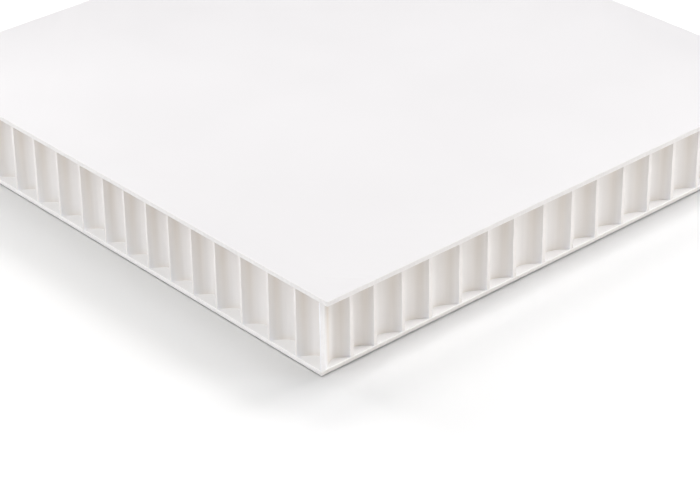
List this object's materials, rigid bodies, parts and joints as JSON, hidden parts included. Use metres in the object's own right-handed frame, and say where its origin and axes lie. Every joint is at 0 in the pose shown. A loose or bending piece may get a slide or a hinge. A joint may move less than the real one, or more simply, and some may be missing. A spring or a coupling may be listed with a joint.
{
  "type": "polypropylene honeycomb board",
  "caption": "Rigid plastic sandwich board: two flat skins bonded to a core of fused upright tubes, with sawn edges that show the open half tubes.",
  "frame": {"origin": "middle of the bounding box's underside, on the lower face of the bottom skin", "axes": "+Z through the board's thickness, out of the top skin; +X towards the edge that the top skin stands past; -Y towards the other pictured edge"},
  "size_m": [0.1626, 0.1602, 0.02],
  "materials": {
    "skin": "satin white polypropylene sheet",
    "core": "natural white polypropylene, slightly translucent, with sawn edges"
  },
  "bodies": {
    "root": {"bottom_skin": "skin", "tube_core": "core", "top_skin": "skin"}
  },
  "joints": []
}
